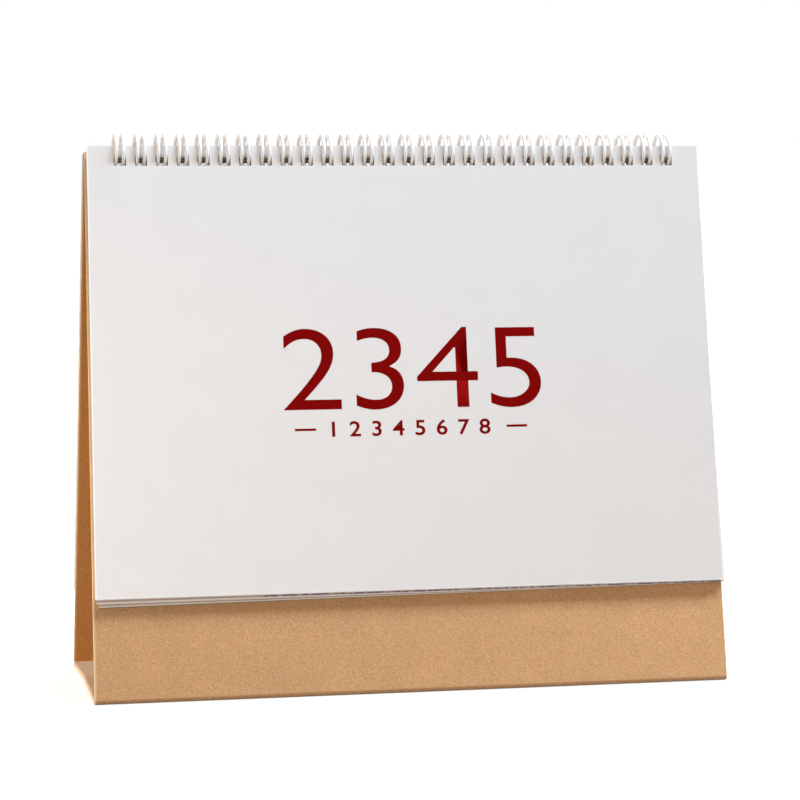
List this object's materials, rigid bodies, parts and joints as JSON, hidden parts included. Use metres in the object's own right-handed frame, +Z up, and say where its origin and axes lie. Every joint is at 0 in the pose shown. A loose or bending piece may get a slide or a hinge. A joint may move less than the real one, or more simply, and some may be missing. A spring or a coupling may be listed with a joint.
{
  "type": "desk calendar",
  "caption": "Tent desk calendar: a folded kraft board easel, a white twin-loop wire along its top, and paper leaves that hang from the wire and turn over it.",
  "frame": {"origin": "middle of the footprint, on the desk", "axes": "+X to the right as seen from the front, along the wire; the front leaves face -Y; +Z up"},
  "size_m": [0.2582, 0.089, 0.222],
  "materials": {
    "kraft_board": "matte",
    "coated_wire": "gloss",
    "leaf_paper": "matte",
    "cover_card": "matte"
  },
  "bodies": {
    "stand": {"easel": "kraft_board", "twin_loop_wire": "coated_wire"},
    "months": {"month_leaves": "leaf_paper"},
    "cover": {"cover_leaf": "cover_card"},
    "turned": {"turned_leaf": "leaf_paper"}
  },
  "joints": [
    {"name": "months_turn", "type": "hinge", "parent": "stand", "child": "months", "pos_m": [0, 0, 0.21435], "axis": [-1, 0, 0], "range_deg": [0, 168.5]},
    {"name": "cover_turn", "type": "hinge", "parent": "months", "child": "cover", "pos_m": [0, 0, 0.21435], "axis": [-1, 0, 0], "range_deg": [0, 195]},
    {"name": "turned_leaf_turn", "type": "hinge", "parent": "stand", "child": "turned", "pos_m": [0, 0, 0.21435], "axis": [1, 0, 0], "range_deg": [0, 168.5]}
  ]
}
